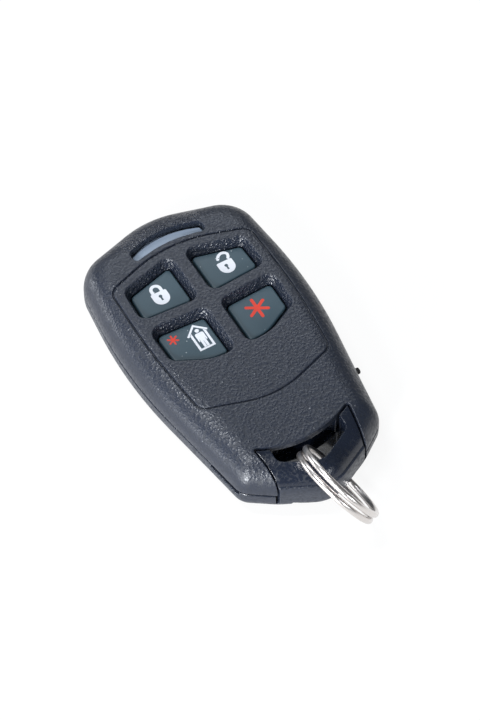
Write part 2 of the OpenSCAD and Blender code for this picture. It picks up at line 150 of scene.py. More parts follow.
def spread(points, count):
    """The same closed outline with evenly spaced points."""
    closed = np.vstack([points, points[:1]])
    length = np.concatenate([[0], np.cumsum(np.linalg.norm(np.diff(closed, axis=0), axis=1))])
    at = np.linspace(0, length[-1], count, endpoint=False)
    return np.stack([np.interp(at, length, closed[:, k]) for k in range(2)], -1)


notch_corners = [(0, -26.5, 18)] + notch_half + mirrored(notch_half)
hole_corners = hole_half + [(0, hole_end, 4)] + mirrored(hole_half)
room_corners = room_half + mirrored(room_half)
key_corners = {"lock": mirrored(upper_key), "unlock": upper_key,
               "stay": mirrored(lower_key), "star": lower_key}
case_fine = spread(rounded(both_sides(case_corners), 1.5), 420)
case_plain = spread(rounded(both_sides(case_corners), 3), 180)
SPINE = 12.0


def case_ring(inset, outline=case_fine):
    """The case outline moved in towards the spine of the case."""
    spine = np.stack([np.zeros(len(outline)), np.clip(outline[:, 1], -SPINE, SPINE)], -1)
    toward = spine - outline
    return outline + toward / np.linalg.norm(toward, axis=1)[:, None] * inset


def front_levels(start, run, rise, steps=26, last=90.0):
    """Levels of the front shell's shoulder from the seam up, each (inset, height)."""
    turns = np.radians(np.linspace(0, last, steps + 1))
    insets = [start + run * (1 - max(math.cos(t), 0) ** bend) for t in turns]
    return [(inset, seam_z + rise * math.sin(t) ** bend) for inset, t in zip(insets, turns)]


def back_levels(start, run, floor_z, steps=18):
    """Levels of the rear shell from its flat back up to the seam, each (inset, height)."""
    turns = np.radians(np.linspace(90, 0, steps + 1))
    rise = back_turn - floor_z
    levels = [(start + run * (1 - math.cos(t)), back_turn - rise * math.sin(t)) for t in turns]
    return levels + [(start, joint_down)]


# Solids in millimetres, joined and cut, then turned into pieces

def level(points, z):
    return np.column_stack([points, np.full(len(points), z)])


def band(low, high, count):
    """Faces between two rings of points, given where each ring starts."""
    after = [(j + 1) % count for j in range(count)]
    return [(low + j, low + k, high + k, high + j) for j, k in enumerate(after)]


def tube(name, rings):
    """A closed mesh through rings of equal count, the last ring joined to the first."""
    count, turns = len(rings[0]), len(rings)
    faces = []
    for i in range(turns):
        faces += band(i * count, (i + 1) % turns * count, count)
    return from_faces(name, np.concatenate(rings), faces)


def solid(name, rings):
    """A closed mesh through rings of equal count, from the lowest up."""
    count = len(rings[0])
    faces = []
    for i in range(len(rings) - 1):
        faces += band(i * count, (i + 1) * count, count)
    faces.append(tuple(range(count - 1, -1, -1)))
    faces.append(tuple(range((len(rings) - 1) * count, len(rings) * count)))
    return from_faces(name, np.concatenate(rings), faces)


def from_faces(name, points, faces):
    mesh = bpy.data.meshes.new(name)
    mesh.from_pydata([tuple(map(float, p)) for p in points], [], faces)
    work = bmesh.new()
    work.from_mesh(mesh)
    bmesh.ops.recalc_face_normals(work, faces=work.faces)
    work.to_mesh(mesh)
    work.free()
    made = bpy.data.objects.new(name, mesh)
    bpy.context.scene.collection.objects.link(made)
    return made


def case_solid(name, levels, outline=case_fine):
    return solid(name, [level(case_ring(inset, outline), z) for inset, z in levels])


def prism(name, points, low, high):
    return solid(name, [level(points, low), level(points, high)])


def through(name, corners, turn, extra=0):
    """A cutter that passes through the whole height of the case."""
    return prism(name, rounded(corners, turn), -1 - extra, body_h + 2 + extra)


def key_solid(name, key, levels, turn=12.0):
    """A solid that follows a key's outline, each level being (growth, height)."""
    return solid(name, [level(rounded(grown(key_corners[key], g), turn), z) for g, z in levels])


def block(name, low, high):
    (a, b, c), (d, e, f) = low, high
    return prism(name, np.array([(a, b), (d, b), (d, e), (a, e)], float), c, f)


def round_bar(name, start, along, length, r_start, r_end, count=32):
    """A round bar or cone from a start point along a direction."""
    along = unit(np.array(along, float))
    side = unit(np.cross(along, (0.3, 0.5, 0.8)))
    other = np.cross(along, side)
    turns = np.linspace(0, 2 * math.pi, count, endpoint=False)
    circle = np.cos(turns)[:, None] * side + np.sin(turns)[:, None] * other
    start = np.array(start, float)
    return solid(name, [start + circle * r_start, start + along * length + circle * r_end])


def settled(piece):
    """Applies a piece's modifiers to its mesh."""
    mesh = worked_out(piece)
    piece.modifiers.clear()
    piece.data = mesh
    return piece


def worked_out(made):
    """The mesh that an object shows, with its modifiers or its curve worked out."""
    bpy.context.view_layer.update()
    return bpy.data.meshes.new_from_object(made.evaluated_get(bpy.context.evaluated_depsgraph_get()))


def combine(base, tool, how):
    change = base.modifiers.new("change", "BOOLEAN")
    change.operation = how
    change.solver = "MANIFOLD"
    change.object = tool
    settled(base)
    bpy.data.objects.remove(tool)
    return base


def cut(base, *tools):
    for tool in tools:
        combine(base, tool, "DIFFERENCE")
    return base


def joined(base, *tools):
    for tool in tools:
        combine(base, tool, "UNION")
    return base


def moulded(piece):
    """Gives a cut solid the soft edges of a moulding: fine skin, eased edges, then fewer faces."""
    skin = piece.modifiers.new("skin", "REMESH")
    skin.mode = "VOXEL"
    skin.voxel_size = skin_voxel
    soft = piece.modifiers.new("ease", "SMOOTH")
    soft.factor = 0.5
    soft.iterations = skin_ease
    thin = piece.modifiers.new("thin", "DECIMATE")
    thin.ratio = skin_keep
    return settled(piece)


def finished(piece, body, stands_for, material, smooth=True, scale=MM):
    """Brings a piece to metres, gives it its material and lets it ride on its body."""
    piece.data.transform(Matrix.Scale(scale, 4))
    piece.data.materials.clear()
    piece.data.materials.append(material)
    piece.data.polygons.foreach_set("use_smooth", [smooth] * len(piece.data.polygons))
    piece.data.update()
    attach(piece, body)
    if stands_for:
        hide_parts(*stands_for)
    return piece


def face_height(points):
    """Height of the front shell's skin above points of the plan."""
    heights = []
    ring = np.vstack([case_plain, case_plain[:1]])
    for x, y in points:
        spine = np.array([0.0, min(max(y, -SPINE), SPINE)])
        way = unit(np.array([x, y]) - spine)
        a, b = ring[:-1] - spine, ring[1:] - spine
        ca, cb = way[0] * a[:, 1] - way[1] * a[:, 0], way[0] * b[:, 1] - way[1] * b[:, 0]
        hits = np.where((ca <= 0) != (cb <= 0))[0]
        t = ca[hits] / (ca[hits] - cb[hits])
        far = ((a[hits] + (b[hits] - a[hits]) * t[:, None]) @ way).max()
        inset = far - np.linalg.norm(np.array([x, y]) - spine)
        u = 1 - min(max(inset, 0), shoulder_run) / shoulder_run
        heights.append(seam_z + front_rise * (1 - u ** shoulder_full) ** (1 / shoulder_full))
    return np.array(heights)


def rim_levels(low, grow_low, grow_high, lip, steps=7, roll_share=0.85):
    """Levels of a pocket whose sloped wall rolls over into the face at the top."""
    slope = (grow_high - grow_low) / (body_h - low)
    levels = [(grow_low, low), (grow_low + slope * (body_h - lip - low), body_h - lip)]
    for t in np.linspace(0, 1, steps + 1)[1:]:
        z = body_h - lip + lip * t
        roll = lip * roll_share * (1 - math.sqrt(max(1 - t * t, 0)))
        levels.append((grow_low + slope * (z - low) + roll, z))
    return levels + [(levels[-1][0] + 0.02, body_h + 1)]


def loop_rooms(extra):
    """What the insides of both shells keep clear of: the loop's notch and the room under the arc edge."""
    return [through("room", grown(corners, extra), 6) for corners in (notch_corners, room_corners)]


def front_case(material, room_shade_material, pocket_material):
    """Front half of the case, with painted shade (a darker, smoother plastic) in the loop's room and at the
    seam, deeply grained in the pockets.
    """
    levels = [(inset, joint_up + up) for inset, up in reversed(seam_edge)]
    levels += [lv for lv in front_levels(0, shoulder_run, front_rise) if lv[1] > levels[-1][1]]
    shell = case_solid("front_case_shell", levels)
    cut(shell, front_hollow())
    front_fittings(shell)
    front_openings(shell)
    moulded(shell)
    finished(shell, "front_case", ["front_shell"], material)
    # painted shade: the room under the arc edge and the seam edge get a darker plastic
    second_finish(shell, room_shade_material, in_room)
    return second_finish(shell, pocket_material, in_pocket)


def front_hollow():
    """Space inside the front half, with a rebate for the lip, clear of the loop's rooms."""
    roof = front_levels(wall, shoulder_run - 0.4, front_rise - wall, 14)
    levels = [(rebate_in, joint_down - 1), (rebate_in, rebate_top), (wall, rebate_top)]
    levels += [lv for lv in roof if lv[1] > rebate_top]
    return cut(case_solid("hollow", levels, case_plain), *loop_rooms(wall))


def front_fittings(shell):
    """Wells that guide the keys, and posts down to the board."""
    outer = key_gap + pocket_flare + well_wall
    for key in key_corners:
        joined(shell, key_solid("well", key, [(key_gap + well_wall, well_z), (outer, body_h - 1)]))
    post_l = body_h - wall / 2 - board_top
    for x, y in front_posts:
        joined(shell, round_bar("post", (x, y, board_top), (0, 0, 1), post_l, front_post_r, front_post_r))


def front_openings(shell):
    """Pockets of the keys, the light window with its seat, the groove, and the loop's notch and room."""
    for key in key_corners:
        pocket = [(key_gap, well_z - 1)] + rim_levels(pocket_floor, key_gap, pocket_flare, pocket_lip)
        cut(shell, key_solid("pocket", key, pocket, 8))
    window = both_sides(window_corners)
    sides = [(0, flange_low)] + rim_levels(window_floor, 0, window_flare, window_lip)
    cut(shell, solid("window", [level(rounded(grown(window, g), 8), z) for g, z in sides]))
    seat = rounded(grown(window, flange_reach + flange_play), 8)
    cut(shell, prism("flange_seat", seat, board_top, flange_low + flange_h + flange_play))
    cut(shell, groove_tool())
    cut(shell, through("notch", notch_corners, 3))
    cut(shell, prism("room", rounded(room_corners, 8), -1, body_h - wall))


def in_room(x, y, z):
    """True where shade is painted: in the room under the arc edge, and on the edge along the seam."""
    in_plan = abs(x) < room_x + 0.2 and room_end < y < room_start + 0.4
    return in_plan and z < body_h - wall + 0.1 or z < joint_up + seam_band


def in_pocket(x, y, z):
    """True on the walls round the keys and round the light window."""
    by_keys = abs(x) < keys_x and keys_from < y < keys_to
    by_window = abs(x) < window_x and window_from < y < window_to
    return (by_keys or by_window) and well_z < z < body_h - 0.05


def groove_tool():
    """A thin closed band along the outline of the key area, let into the skin all the way round."""
    path = spread(rounded(both_sides(shield_corners), 3), 260)
    ahead = np.roll(path, -1, 0) - np.roll(path, 1, 0)
    out = np.stack([ahead[:, 1], -ahead[:, 0]], -1)
    out /= np.linalg.norm(out, axis=1)[:, None]
    floor = face_height(path) - groove_deep
    above, half_up = np.full(len(path), body_h + 0.5), floor + groove_deep * 0.4
    section = [(-0.5, above), (-0.5, half_up), (-0.2, floor), (0.2, floor), (0.5, half_up), (0.5, above)]
    return tube("groove", [np.column_stack([path + out * share * groove_w, z]) for share, z in section])


def rear_case(material, loop_shade_material, nib_material):
    """Rear half of the case, with painted shade (a darker, smoother plastic) in the loop's hole, on the
    loop's top and at the seam, and a near-black matt nib.
    """
    edge = [(inset, joint_down - down) for inset, down in seam_edge]
    shell = case_solid("rear_case_shell", back_levels(0, back_run, 0)[:-1] + edge)
    cut(shell, rear_hollow())
    joined(shell, seam_lip(), ring_loop())
    rear_fittings(shell)
    rear_openings(shell)
    moulded(shell)
    finished(shell, "rear_case", ["rear_shell"], material)
    # painted shade: the loop's hole, the loop's top and the seam edge get a darker plastic
    second_finish(shell, loop_shade_material, by_loop)
    return second_finish(shell, nib_material, on_nib)


def rear_hollow():
    """Space inside the rear half, clear of the loop's rooms."""
    levels = back_levels(wall, back_run - 1, wall, 12) + [(wall, seam_z + 1)]
    return cut(case_solid("inside", levels, case_plain), *loop_rooms(wall))


def seam_lip():
    """Lip that stands up into the front half's rebate, away from the loop."""
    lip = case_solid("lip", [(lip_out, joint_down - lip_root), (lip_out, joint_down + lip_high)], case_plain)
    cut(lip, case_solid("lip_inside", [(lip_in, joint_down - 2), (lip_in, joint_down + 2)], case_plain))
    return cut(lip, *loop_rooms(wall + loop_gap))


def rear_fittings(shell):
    """Ribs round the cell, posts under the board and the nib on the right side."""
    for i in range(rib_count):
        joined(shell, cradle_rib(math.radians((i + 0.5) * 360 / rib_count)))
    post_l = board_z - rear_post_play - wall / 2
    for x, y in rear_posts:
        foot = (x, y, wall / 2)
        joined(shell, round_bar("post", foot, (0, 0, 1), post_l, rear_post_foot_r, rear_post_head_r))
    nib_start = (side_x(nib_y) - nib_root, nib_y, seam_z - nib_down)
    joined(shell, round_bar("nib", nib_start, (1, 0, 0), nib_root + nib_out, nib_r_root, nib_r_end))


def rear_openings(shell):
    """Hole of the loop, the space under its bar, the slots beside it and the slot for prying."""
    hole = through("hole", hole_corners, 5)
    combine(hole, through("notch", notch_corners, 3, 1), "INTERSECT")
    cut(shell, hole, under_bar())
    for x in (-slot_x, slot_x):
        cut(shell, block("slot", (x - slot_half, *slot_from), (x + slot_half, *slot_to)))
    cut(shell, pry_slot())


def by_loop(x, y, z):
    """True where shade is painted: in the loop's hole, on the loop's top, and on the edge along the seam."""
    in_hole = abs(x) < hole_x + 0.1 and hole_end - 0.05 < y < loop_start
    in_loop = abs(x) < loop_x and y < loop_start
    return in_hole or z > (loop_wall_z + 0.05 if in_loop else joint_down - seam_band)


def on_nib(x, y, z):
    """True on the part of the nib that stands out of the side."""
    return abs(y - nib_y) < 1 and x > side_x(nib_y) + 0.15


def second_finish(piece, material, chosen):
    """Gives one more material to the faces in chosen places."""
    piece.data.materials.append(material)
    for face in piece.data.polygons:
        if chosen(*(face.center / MM)):
            face.material_index = len(piece.data.materials) - 1
    return piece


def ring_loop():
    """Loop for the split ring: an end wall, and above it a stepped-in top that follows the shoulder."""
    turn = math.degrees(math.asin(((loop_wall_z - seam_z) / front_rise) ** (1 / bend)))
    loop = case_solid("loop", [(0, joint_down - 1)] + front_levels(0, shoulder_run, front_rise, 8, turn))
    top = front_levels(loop_step, shoulder_run, front_rise - loop_drop)
    joined(loop, case_solid("loop_top", [(loop_step, joint_down - 1)] + top))
    room = prism("loop_plan", rounded(grown(notch_corners, -loop_gap), 3), seam_z - 2, body_h + 3)
    return combine(loop, room, "INTERSECT")


def under_bar():
    """Space beneath the loop's bar, sloped so that the ring can swing there."""
    profile = [(-16.5, -1), (-36, -1), (-36, 3), (-31.7, 3), (-28.3, 5.7), (-16.5, 5.7)]
    rings = [np.array([(x, y, z) for y, z in profile], float) for x in (-under_bar_x, under_bar_x)]
    space = solid("under", rings)
    return combine(space, through("notch", notch_corners, 3, 1), "INTERSECT")


def cradle_rib(angle):
    """Upright that keeps the coin cell in its place, thinner at its head."""
    rings = []
    for (reach, half), z in ((rib_foot, rib_low), (rib_head, rib_high)):
        plan = [(rib_in, -half), (reach, -half), (reach, half), (rib_in, half)]
        rings.append(level(np.array(plan, float), z))
    rib = solid("rib", rings)
    rib.data.transform(Matrix.Translation((0, rib_y, 0)) @ Matrix.Rotation(angle, 4, "Z"))
    return rib


def side_x(y):
    """How far out the right side of the case is at a place along its length."""
    near = np.argsort(np.abs(case_fine[:, 1] - y) + 100 * (case_fine[:, 0] < 0))[:2]
    return float(case_fine[near, 0].mean())


def pry_slot():
    """Slot in the left seam for prying the two shells apart."""
    slot = block("pry_slot", (-2, -pry_l / 2, 0), (pry_deep, pry_l / 2, pry_h + 0.02))
    place = Matrix.Translation((-side_x(pry_y), pry_y, joint_down - pry_h))
    slot.data.transform(place @ Matrix.Rotation(math.radians(pry_turn), 4, "Z"))
    return slot


# Keys with their printed signs, the web beneath them, light pipe and split ring

def key_piece(key, material):
    """Key cap with a rounded top edge, on the plunger that carries its pill."""
    turns = np.radians(np.linspace(0, 90, 7))
    edge = [(key_edge * (math.cos(a) - 1), key_top + key_edge * (math.sin(a) - 1)) for a in turns]
    levels = [(-plunger_in, plunger_z), (-plunger_in, key_base), (-0.08, key_base), (0, key_base + 0.1)]
    piece = key_solid(key + "_key_cap", key, levels + edge, 6)
    return finished(piece, key + "_button", [key + "_key"], material)


def skirt_piece(key, material):
    """Thin web with a soft bend at its foot and at its top; a pressed key would leave it 0.436 of its height,
    but this piece keeps its shape.
    """
    foot = [(skirt_reach, sheet_top), (skirt_reach - 0.14, sheet_top + 0.12)]
    outer = foot + [(0.45, sheet_top + 0.62), (0.1, skirt_top - 0.2), (0.0, skirt_top)]
    inner = [(g - skirt_wall, z) for g, z in reversed(outer)]
    rings = [level(rounded(grown(key_corners[key], g), 12), z) for g, z in outer + inner]
    piece = tube(key + "_key_skirt", rings)
    finished(piece, "front_case", [key + "_skirt"], material)
    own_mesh(piece)


def arc(cx, cy, radius, first, last, steps=24):
    """Points on a circle from one angle to another, in degrees."""
    turns = np.radians(np.linspace(first, last, steps + 1))
    return [(cx + radius * math.cos(a), cy + radius * math.sin(a)) for a in turns]


def stroke(points, width):
    """Outline of a pen stroke with round ends along a line of points."""
    line = np.array(points, float)
    ahead = np.gradient(line, axis=0)
    ahead /= np.linalg.norm(ahead, axis=1)[:, None]
    side = np.stack([-ahead[:, 1], ahead[:, 0]], -1) * width / 2
    first, last = [math.degrees(math.atan2(a[1], a[0])) for a in (ahead[0], ahead[-1])]
    end = arc(*line[-1], width / 2, last + 80, last - 80, 8)
    start = arc(*line[0], width / 2, first - 100, first - 260, 8)
    return [tuple(q) for q in line + side] + end + [tuple(q) for q in (line - side)[::-1]] + start


def star_outline(cx, cy, arm, width):
    """Six round-ended arms round a point."""
    points = []
    for a in range(30, 390, 60):
        end = arc(cx, cy, arm - width / 2, a, a, 0)[0]
        points += arc(*end, width / 2, a - 90, a + 90, 10)
        points += arc(cx, cy, width, a + 30, a + 30, 0)
    return points


def keyhole(cx, cy, radius, stem, low):
    """A round keyhole with a stem that widens downwards."""
    lean = math.degrees(math.asin(stem / radius))
    return arc(cx, cy, radius, -90 + lean, 270 - lean, 20) + [(cx - stem * 1.1, low), (cx + stem * 1.1, low)]


def lock_signs():
    """Closed padlock: body and shackle in one outline, the shackle's inside and the keyhole left open."""
    body = arc(-6.70, 14.89, 1.57, 180, 360, 28)
    body += [(-5.13, 15.98), (-5.22, 16.16), (-5.40, 16.22), (-5.59, 16.22)]
    body += arc(-6.775, 16.84, 1.185, 0, 180)
    body += [(-7.96, 16.22), (-8.02, 16.22), (-8.19, 16.16), (-8.27, 15.98)]
    inside = arc(-6.775, 16.84, 0.575, 0, 180) + [(-7.35, 16.24), (-6.20, 16.24)]
    return [("white", [body, inside, keyhole(-6.71, 15.22, 0.34, 0.17, 14.22)])]


def unlock_signs():
    """Open padlock: the shackle is a stroke that stands clear of the body, with a notch near its end."""
    body = arc(7.04, 15.0, 1.56, 180, 360, 28) + [(8.60, 16.02), (8.52, 16.2), (8.34, 16.27)]
    body += [(5.74, 16.27), (5.56, 16.2), (5.48, 16.02)]
    hole = keyhole(6.99, 15.2, 0.34, 0.17, 14.22)
    shackle = spline([(8.13, 16.57), (8.36, 16.95), (8.43, 17.43), (8.01, 17.91),
                      (7.35, 18.01), (6.7, 17.68), (6.28, 17.08)])
    notch = arc(6.53, 17.27, 0.11, 0, 330, 11)
    return [("white", [body, hole]), ("white", [stroke(shackle, 0.56), notch])]


def spline(points, steps=6):
    """Smooth line through points."""
    p = np.array([points[0]] + list(points) + [points[-1]], float)
    line = []
    for i in range(1, len(p) - 2):
        a, b = (p[i + 1] - p[i - 1]) / 2, (p[i + 2] - p[i]) / 2
        for t in np.linspace(0, 1, steps, endpoint=False):
            line.append((2 * t**3 - 3 * t**2 + 1) * p[i] + (t**3 - 2 * t**2 + t) * a
                        + (-2 * t**3 + 3 * t**2) * p[i + 1] + (t**3 - t**2) * b)
    return line + [p[-1]]


def stay_signs():
    """House with a standing figure, and a small star beside it."""
    roof = [(-5.01, 6.80), (-2.93, 4.92), (-3.19, 4.64), (-5.01, 6.28), (-6.86, 4.55), (-7.12, 4.83)]
    walls = [(-6.55, 4.72), (-6.55, 1.06), (-3.38, 1.06), (-3.38, 4.70), (-3.60, 4.90), (-3.82, 5.10),
             (-3.82, 1.44), (-6.11, 1.44), (-6.11, 5.14)]
    figure = [(-5.73, 2.95), (-5.73, 4.42), (-5.66, 4.64), (-5.46, 4.75), (-4.32, 4.75), (-4.11, 4.64)]
    figure += [(-4.03, 4.42), (-4.03, 2.95), (-4.12, 2.84), (-4.24, 2.9), (-4.34, 3.5), (-4.34, 1.5)]
    figure += [(-4.85, 1.5), (-4.87, 2.85), (-4.92, 2.85), (-4.94, 1.5), (-5.42, 1.5), (-5.42, 3.5)]
    figure += [(-5.52, 2.9), (-5.64, 2.84)]
    head = arc(-4.91, 5.29, 0.40, 0, 345, 23)
    return [("white", [roof]), ("white", [walls]), ("white", [figure]), ("white", [head]),
            ("red", [star_outline(-9.55, 5.64, 1.12, 0.34)])]


def star_signs():
    return [("red", [star_outline(6.94, 4.15, 2.3, 0.60)])]


def filled(loops):
    """A thin flat mesh inside closed outlines, an outline within another one being open."""
    curve = bpy.data.curves.new("print", "CURVE")
    curve.dimensions = "2D"
    curve.fill_mode = "BOTH"
    curve.extrude = print_half
    for loop in loops:
        line = curve.splines.new("POLY")
        line.points.add(len(loop) - 1)
        line.points.foreach_set("co", [v for x, y in loop for v in (x, y, 0, 1)])
        line.use_cyclic_u = True
    drawn = bpy.data.objects.new("print", curve)
    bpy.context.scene.collection.objects.link(drawn)
    mesh = worked_out(drawn)
    bpy.data.objects.remove(drawn)
    return mesh


def printed(key, signs, inks):
    """Signs printed on a key: thin raised ink, one piece for each colour."""
    for color in inks:
        parts = [filled(loops) for sign_color, loops in signs if sign_color == color]
        if not parts:
            continue
        work = bmesh.new()
        for mesh in parts:
            work.from_mesh(mesh)
        whole = bpy.data.meshes.new(f"{key}_{color}_print")
        work.to_mesh(whole)
        work.free()
        whole.transform(Matrix.Translation((0, 0, key_top + print_lift)))
        piece = bpy.data.objects.new(f"{key}_{color}_print", whole)
        bpy.context.scene.collection.objects.link(piece)
        finished(piece, key + "_button", None, inks[color], smooth=False)


def light_pipe_piece(material):
    """Window piece with a flange under the face and a stem down to the lamp."""
    window = both_sides(window_corners)
    low, high, reach, play = flange_low, flange_low + flange_h, flange_reach, pipe_play
    sides = [(reach - 0.08, low), (reach, low + 0.08), (reach, high - 0.08)]
    sides += [(reach - 0.08, high), (-play, high)]
    sides += [(-play, pipe_top - 0.16), (-play - 0.04, pipe_top - 0.06), (-play - 0.14, pipe_top)]
    pipe = solid("light_pipe_window", [level(rounded(grown(window, g), 5), z) for g, z in sides])
    stem_from, stem_to = (-2, 24.2, 7.6), (2, 26.4, low + 0.1)
    joined(pipe, block("stem", stem_from, stem_to))
    return finished(pipe, "front_case", ["light_pipe"], material, smooth=False)


def ring_piece(material):
    """Split ring: a turn, a short step across and a second turn, of wire pressed a little flat."""
    radius, pitch, wire_across, wire_out = 8.2, 1.5, 0.58, 0.52
    middle, swing, lean, ends_at = (0.3, -34.1, 8.72), 7.2, 31.0, 68.0
    jog, sides, steps = 50.0, 40, 360
    turns = np.linspace(0, 720 - jog, steps + 1)
    t = np.clip((turns - 360 + jog) / jog, 0, 1)
    across = (t * t * (3 - 2 * t) - 0.5) * pitch
    around = np.linspace(0, 2 * math.pi, sides, endpoint=False)
    section = [np.sign(v) * np.abs(v) ** 0.9 for v in (np.cos(around), np.sin(around))]
    from_end = np.minimum(np.arange(steps + 1), np.arange(steps + 1)[::-1])
    swell = np.minimum(1, from_end * 0.3 + 0.78)
    rings = []
    for a, z, grow in zip(np.radians(turns), across, swell):
        r = radius + wire_out * grow * section[0]
        rings.append(np.column_stack([r * math.cos(a), r * math.sin(a), z + wire_across * grow * section[1]]))
    ring = solid("key_split_ring", rings)
    place = Matrix.Translation(middle)
    for turn, axis in ((swing, "Z"), (90 - lean, "Y"), (ends_at, "Z")):
        place = place @ Matrix.Rotation(math.radians(turn), 4, axis)
    ring.data.transform(place)
    return finished(ring, "key_ring", ["split_ring"], material)


def softened(node, width, material, body="front_case", segments=2):
    """A piece with the shape of a node and softened edges, width in millimetres."""
    mesh = nodes[node].data.copy()
    mesh.transform(nodes[node].matrix_world)
    work = bmesh.new()
    work.from_mesh(mesh)
    bmesh.ops.remove_doubles(work, verts=work.verts, dist=1e-6)
    bmesh.ops.dissolve_limit(work, angle_limit=math.radians(2), verts=work.verts, edges=work.edges)
    work.to_mesh(mesh)
    work.free()
    piece = bpy.data.objects.new(node + "_body", mesh)
    bpy.context.scene.collection.objects.link(piece)
    edge = piece.modifiers.new("edge", "BEVEL")
    edge.width = width * MM
    edge.segments = segments
    edge.limit_method = "ANGLE"
    edge.angle_limit = math.radians(40)
    settled(piece)
    return finished(piece, body, [node], material, smooth=False, scale=1)


def on_lead(x, y, z):
    """True on the leads of the chip."""
    return abs(y - chip_y) > chip_half


def on_part_end(x, y, z):
    """True on the plated ends of the chip parts."""
    return abs((x - parts_x) % parts_step - parts_l / 2) > parts_l / 2 - parts_cap


# Materials: shared effects are groups, each shader stays in its own material

def add(tree, kind, inputs=None, **settings):
    """Adds a shader node; an input is a value, or the socket that feeds it."""
    made = tree.nodes.new(kind)
    for name, value in settings.items():
        setattr(made, name, value)
    for name, value in (inputs or {}).items():
        if isinstance(value, bpy.types.NodeSocket):
            tree.links.new(value, made.inputs[name])
        else:
            made.inputs[name].default_value = value
    return made


def math_node(tree, operation, a, b=0.0):
    return add(tree, "ShaderNodeMath", {0: a, 1: b}, operation=operation).outputs[0]


def vector_node(tree, operation, inputs):
    return add(tree, "ShaderNodeVectorMath", inputs, operation=operation).outputs[0]


def object_place(tree):
    return add(tree, "ShaderNodeTexCoord").outputs["Object"]


def remap(tree, value, low, high, to_low, to_high):
    """Carries a range of values over to another range."""
    ends = {"Value": value, "From Min": low, "From Max": high, "To Min": to_low, "To Max": to_high}
    return add(tree, "ShaderNodeMapRange", ends).outputs[0]


def two_colors(tree, share, first, second):
    made = add(tree, "ShaderNodeMix", data_type="RGBA")
    tree.links.new(share, made.inputs[0])
    for socket, color in ((made.inputs[6], first), (made.inputs[7], second)):
        if isinstance(color, bpy.types.NodeSocket):
            tree.links.new(color, socket)
        else:
            socket.default_value = (*color, 1)
    return made.outputs[2]


def effect(name, inputs, outputs):
    """An empty group with named number inputs and outputs; returns the group, its input and its output."""
    group = bpy.data.node_groups.new(name, "ShaderNodeTree")
    for label, value in inputs:
        socket = group.interface.new_socket(label, in_out="INPUT", socket_type="NodeSocketFloat")
        socket.default_value = value
    for label in outputs:
        group.interface.new_socket(label, in_out="OUTPUT", socket_type="NodeSocketFloat")
    return group, group.nodes.new("NodeGroupInput").outputs, group.nodes.new("NodeGroupOutput").inputs


def grain_effect():
    """Pebbled grain of a sand-etched mould."""
    group, given, result = effect("moulded_grain", [("Scale", 1500.0)], ["Height", "Hollows"])
    place = object_place(group)
    waves = add(group, "ShaderNodeTexNoise", {"Vector": place, "Scale": 1100.0, "Detail": 2.0})
    drift = vector_node(group, "SUBTRACT", {0: waves.outputs["Color"], 1: (0.5, 0.5, 0.5)})
    drift = vector_node(group, "SCALE", {0: drift, "Scale": 0.0008})
    place = vector_node(group, "ADD", {0: place, 1: drift})
    cells = {"Vector": place, "Scale": given["Scale"], "Smoothness": 0.5}
    pebbles = add(group, "ShaderNodeTexVoronoi", cells, feature="SMOOTH_F1").outputs["Distance"]
    fine = add(group, "ShaderNodeTexNoise", {"Vector": place, "Scale": 5200.0, "Detail": 2.0}).outputs[0]
    domes = remap(group, pebbles, 0.1, 0.75, 1.0, 0.0)
    height = math_node(group, "ADD", domes, math_node(group, "MULTIPLY", fine, 0.35))
    group.links.new(height, result["Height"])
    group.links.new(remap(group, pebbles, 0.42, 0.75, 0.0, 1.0), result["Hollows"])
    return group


def dust_effect():
    """Scattered specks: few cells carry one, each of its own size."""
    group, given, result = effect("dust_specks", [("Scale", 600.0), ("Share", 0.1)], ["Specks"])
    place = object_place(group)
    cells = add(group, "ShaderNodeTexVoronoi", {"Vector": place, "Scale": given["Scale"]})
    pick = add(group, "ShaderNodeSeparateColor", {"Color": cells.outputs["Color"]})
    chosen = math_node(group, "LESS_THAN", pick.outputs[0], given["Share"])
    size = remap(group, pick.outputs[1], 0.0, 1.0, 0.03, 0.11)
    near = math_node(group, "LESS_THAN", cells.outputs["Distance"], size)
    group.links.new(math_node(group, "MULTIPLY", chosen, near), result["Specks"])
    return group


def mottle_effect():
    """Slow uneven change over a surface."""
    group, given, result = effect("mottle", [("Scale", 120.0)], ["Value"])
    inputs = {"Vector": object_place(group), "Scale": given["Scale"], "Detail": 5.0, "Roughness": 0.6}
    cloud = add(group, "ShaderNodeTexNoise", inputs).outputs[0]
    group.links.new(remap(group, cloud, 0.3, 0.7, 0.0, 1.0), result["Value"])
    return group


def scratch_effect():
    """Fine handling marks on metal, in two crossing runs."""
    group, given, result = effect("fine_scratches", [("Scale", 300.0)], ["Marks"])
    place = object_place(group)
    runs = []
    for turn in (0.5, 2.1):
        drawn_out = {"Vector": place, "Rotation": (turn, 0.4, turn), "Scale": (1, 14, 1)}
        lined = add(group, "ShaderNodeMapping", drawn_out).outputs[0]
        noise = add(group, "ShaderNodeTexNoise", {"Vector": lined, "Scale": given["Scale"], "Detail": 3.0})
        runs.append(remap(group, noise.outputs[0], 0.56, 0.72, 0.0, 1.0))
    group.links.new(math_node(group, "MAXIMUM", *runs), result["Marks"])
    return group


grain = grain_effect()
dust = dust_effect()
mottle = mottle_effect()
scratches = scratch_effect()


def use(tree, group, **values):
    """Places a shared effect in a material with its own values."""
    made = add(tree, "ShaderNodeGroup", node_tree=group)
    for name, value in values.items():
        made.inputs[name].default_value = value
    return made.outputs


def surface(name, metallic=0.0):
    """A new material; returns it with its nodes and its shader's inputs."""
    made = bpy.data.materials.new(name)
    made.use_nodes = True
    shader = made.node_tree.nodes["Principled BSDF"]
    shader.inputs["Metallic"].default_value = metallic
    return made, made.node_tree, shader.inputs


def bump(tree, height, strength, distance):
    inputs = {"Height": height, "Strength": strength, "Distance": distance}
    return add(tree, "ShaderNodeBump", inputs).outputs[0]


